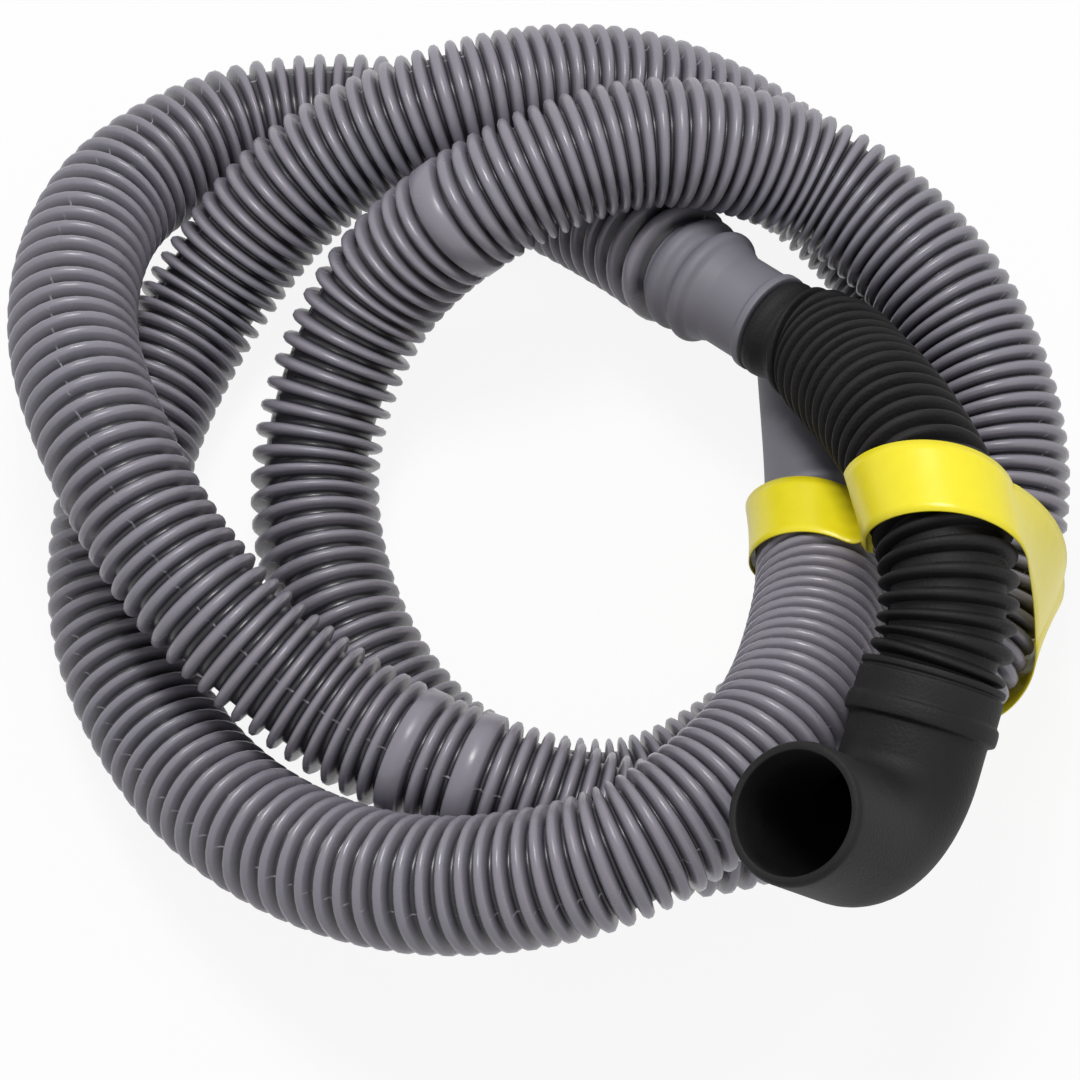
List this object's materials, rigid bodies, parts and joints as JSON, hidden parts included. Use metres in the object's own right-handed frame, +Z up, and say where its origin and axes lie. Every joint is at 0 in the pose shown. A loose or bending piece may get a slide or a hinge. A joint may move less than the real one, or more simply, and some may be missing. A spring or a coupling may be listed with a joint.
{
  "type": "washing machine drain hose",
  "caption": "Coiled corrugated drain hose with a moulded cuff at each end, a ribbed rubber connector that ends in a rubber elbow, and a tape band round the bundle.",
  "frame": {"origin": "under the middle of the whole part's bounding box, on the surface that the coil lies on", "axes": "+Z up from that surface, -Y towards the side that the elbow's mouth and the picture's viewer are on, +X to the viewer's right"},
  "size_m": [0.266, 0.262, 0.1297],
  "materials": {
    "hose": "grey corrugated polypropylene, satin gloss on the ribs",
    "cuff": "moulded grey polypropylene, matte",
    "rubber": "black moulded rubber, matte",
    "band": "bright yellow plastic tape, satin"
  },
  "bodies": {
    "root": {"drain_hose": "hose", "joint_cuff": "cuff", "free_cuff": "cuff", "connector_hose": "rubber", "rubber_elbow": "rubber", "wrap_band": "band"}
  },
  "joints": []
}
